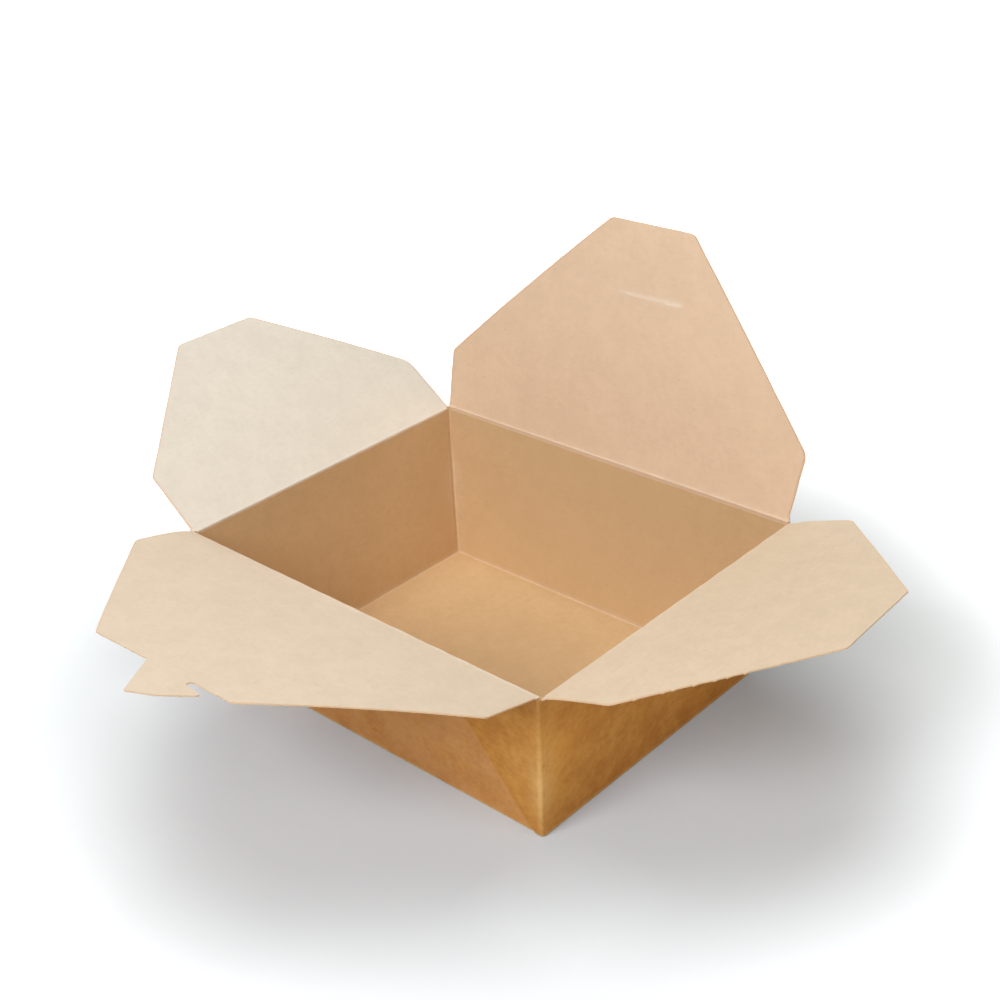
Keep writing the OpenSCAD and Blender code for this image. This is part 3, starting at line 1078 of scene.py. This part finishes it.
# What the seen floor is lifted by: near the box, where kraft-coloured light falls, in its shadow and far off
FLOOR_LIFT_NEAR = (0.0, 0.06, 0.1, 1)
FLOOR_LIFT = (0.12, 0.13, 0.13, 1)
FLOOR_LIFT_FAR = (1.2, 1.2, 1.2, 1)
# In metres from the middle, where the first gives way to the second, and the second to the third
NEAR_ENDS = (0.06, 0.17)
FAR_STARTS = (0.14, 0.3)
# How strongly the surroundings light the box
WORLD_LIGHT = 0.055
MIDDLE = (0, 0, 0.05)
# Name, place, target, size in metres, power in watts, colour
LAMPS = [
    ("top", (-0.1, 0.0, 1.2), MIDDLE, 0.8, 7.55, (1.0, 0.995, 0.97)),
    ("front", (0.1, -0.95, 0.75), MIDDLE, 0.5, 8.6, (0.92, 0.95, 1.0)),
    ("side", (1.1, 0.1, 0.5), MIDDLE, 0.5, 2.5, (1.0, 0.975, 0.945)),
    ("rear", (-0.9, 0.9, 0.25), MIDDLE, 0.9, 3.0, (1.0, 1.0, 1.0)),
]


def seen(nodes, links):
    """1 for rays of the camera and for what gloss or glass shows, and 0 for light that falls on things."""
    path = nodes.new("ShaderNodeLightPath")
    total = math_node(nodes, links, "ADD", path.outputs["Is Camera Ray"], path.outputs["Is Glossy Ray"])
    return math_node(nodes, links, "ADD", total, path.outputs["Is Transmission Ray"], clamp=True)


def stage():
    """A wide pale floor that looks white away from the box and keeps the box's shadow."""
    bpy.ops.mesh.primitive_plane_add(size=12, location=(0, 0, 0))
    floor = bpy.context.object
    floor.name = "floor"
    m = bpy.data.materials.new("pale_floor")
    m.use_nodes = True
    nodes, links = m.node_tree.nodes, m.node_tree.links
    shader = nodes["Principled BSDF"]
    shader.inputs["Base Color"].default_value = FLOOR_COLOUR
    shader.inputs["Roughness"].default_value = 0.95
    shader.inputs["Specular IOR Level"].default_value = 0.1
    away = nodes.new("ShaderNodeVectorMath")
    away.operation = "LENGTH"
    links.new(nodes.new("ShaderNodeTexCoord").outputs["Object"], away.inputs[0])
    lift = FLOOR_LIFT_NEAR
    for ends, next_lift in ((NEAR_ENDS, FLOOR_LIFT), (FAR_STARTS, FLOOR_LIFT_FAR)):
        lift = mix_colour(nodes, links, ramp(nodes, links, away.outputs["Value"], *ends), lift, next_lift)
    glow = nodes.new("ShaderNodeEmission")
    links.new(lift, glow.inputs["Color"])
    links.new(seen(nodes, links), glow.inputs["Strength"])
    both_shaders = nodes.new("ShaderNodeAddShader")
    links.new(shader.outputs[0], both_shaders.inputs[0])
    links.new(glow.outputs[0], both_shaders.inputs[1])
    links.new(both_shaders.outputs[0], nodes["Material Output"].inputs["Surface"])
    floor.data.materials.append(m)


def soft_light(name, place, target, size, power, colour):
    """A square soft box that points from one place to another, in metres."""
    data = bpy.data.lights.new(name, "AREA")
    data.size = size
    data.energy = power
    data.color = colour
    lamp = bpy.data.objects.new(name, data)
    lamp.location = place
    lamp.rotation_mode = "QUATERNION"
    lamp.rotation_quaternion = (Vector(target) - Vector(place)).to_track_quat("-Z", "Y")
    bpy.context.scene.collection.objects.link(lamp)


def world():
    """Even white surroundings, faint as light and at full strength where they are seen."""
    w = bpy.data.worlds.new("surroundings")
    w.use_nodes = True
    nodes, links = w.node_tree.nodes, w.node_tree.links
    sky = nodes["Background"]
    sky.inputs["Color"].default_value = (1.0, 1.0, 1.0, 1.0)
    strength = math_node(nodes, links, "MULTIPLY", seen(nodes, links), 1 - WORLD_LIGHT)
    links.new(math_node(nodes, links, "ADD", strength, WORLD_LIGHT), sky.inputs["Strength"])
    bpy.context.scene.world = w


def camera():
    """The fitted camera: it looks at the target from an azimuth and elevation, turned by a small roll."""
    az, el, roll = (math.radians(a) for a in (CAM_AZIMUTH, CAM_ELEVATION, CAM_ROLL))
    back = Vector((math.sin(az) * math.cos(el), -math.cos(az) * math.cos(el), math.sin(el)))
    right = Vector((0, 0, 1)).cross(back).normalized()
    up = back.cross(right)
    turned_right = math.cos(roll) * right + math.sin(roll) * up
    turned_up = -math.sin(roll) * right + math.cos(roll) * up
    place = (Vector(CAM_TARGET) + back * CAM_DISTANCE) * MM
    data = bpy.data.cameras.new("camera")
    data.sensor_width = SENSOR
    data.lens = SENSOR * CAM_FOCAL_PX / FRAME_PX
    data.clip_start = 0.01
    cam = bpy.data.objects.new("camera", data)
    axes = Matrix((turned_right, turned_up, back)).transposed().to_4x4()
    cam.matrix_world = Matrix.Translation(place) @ axes
    bpy.context.scene.collection.objects.link(cam)
    bpy.context.scene.camera = cam


stage()
world()
for lamp in LAMPS:
    soft_light(*lamp)
camera()
bpy.context.scene.view_settings.view_transform = "Standard"
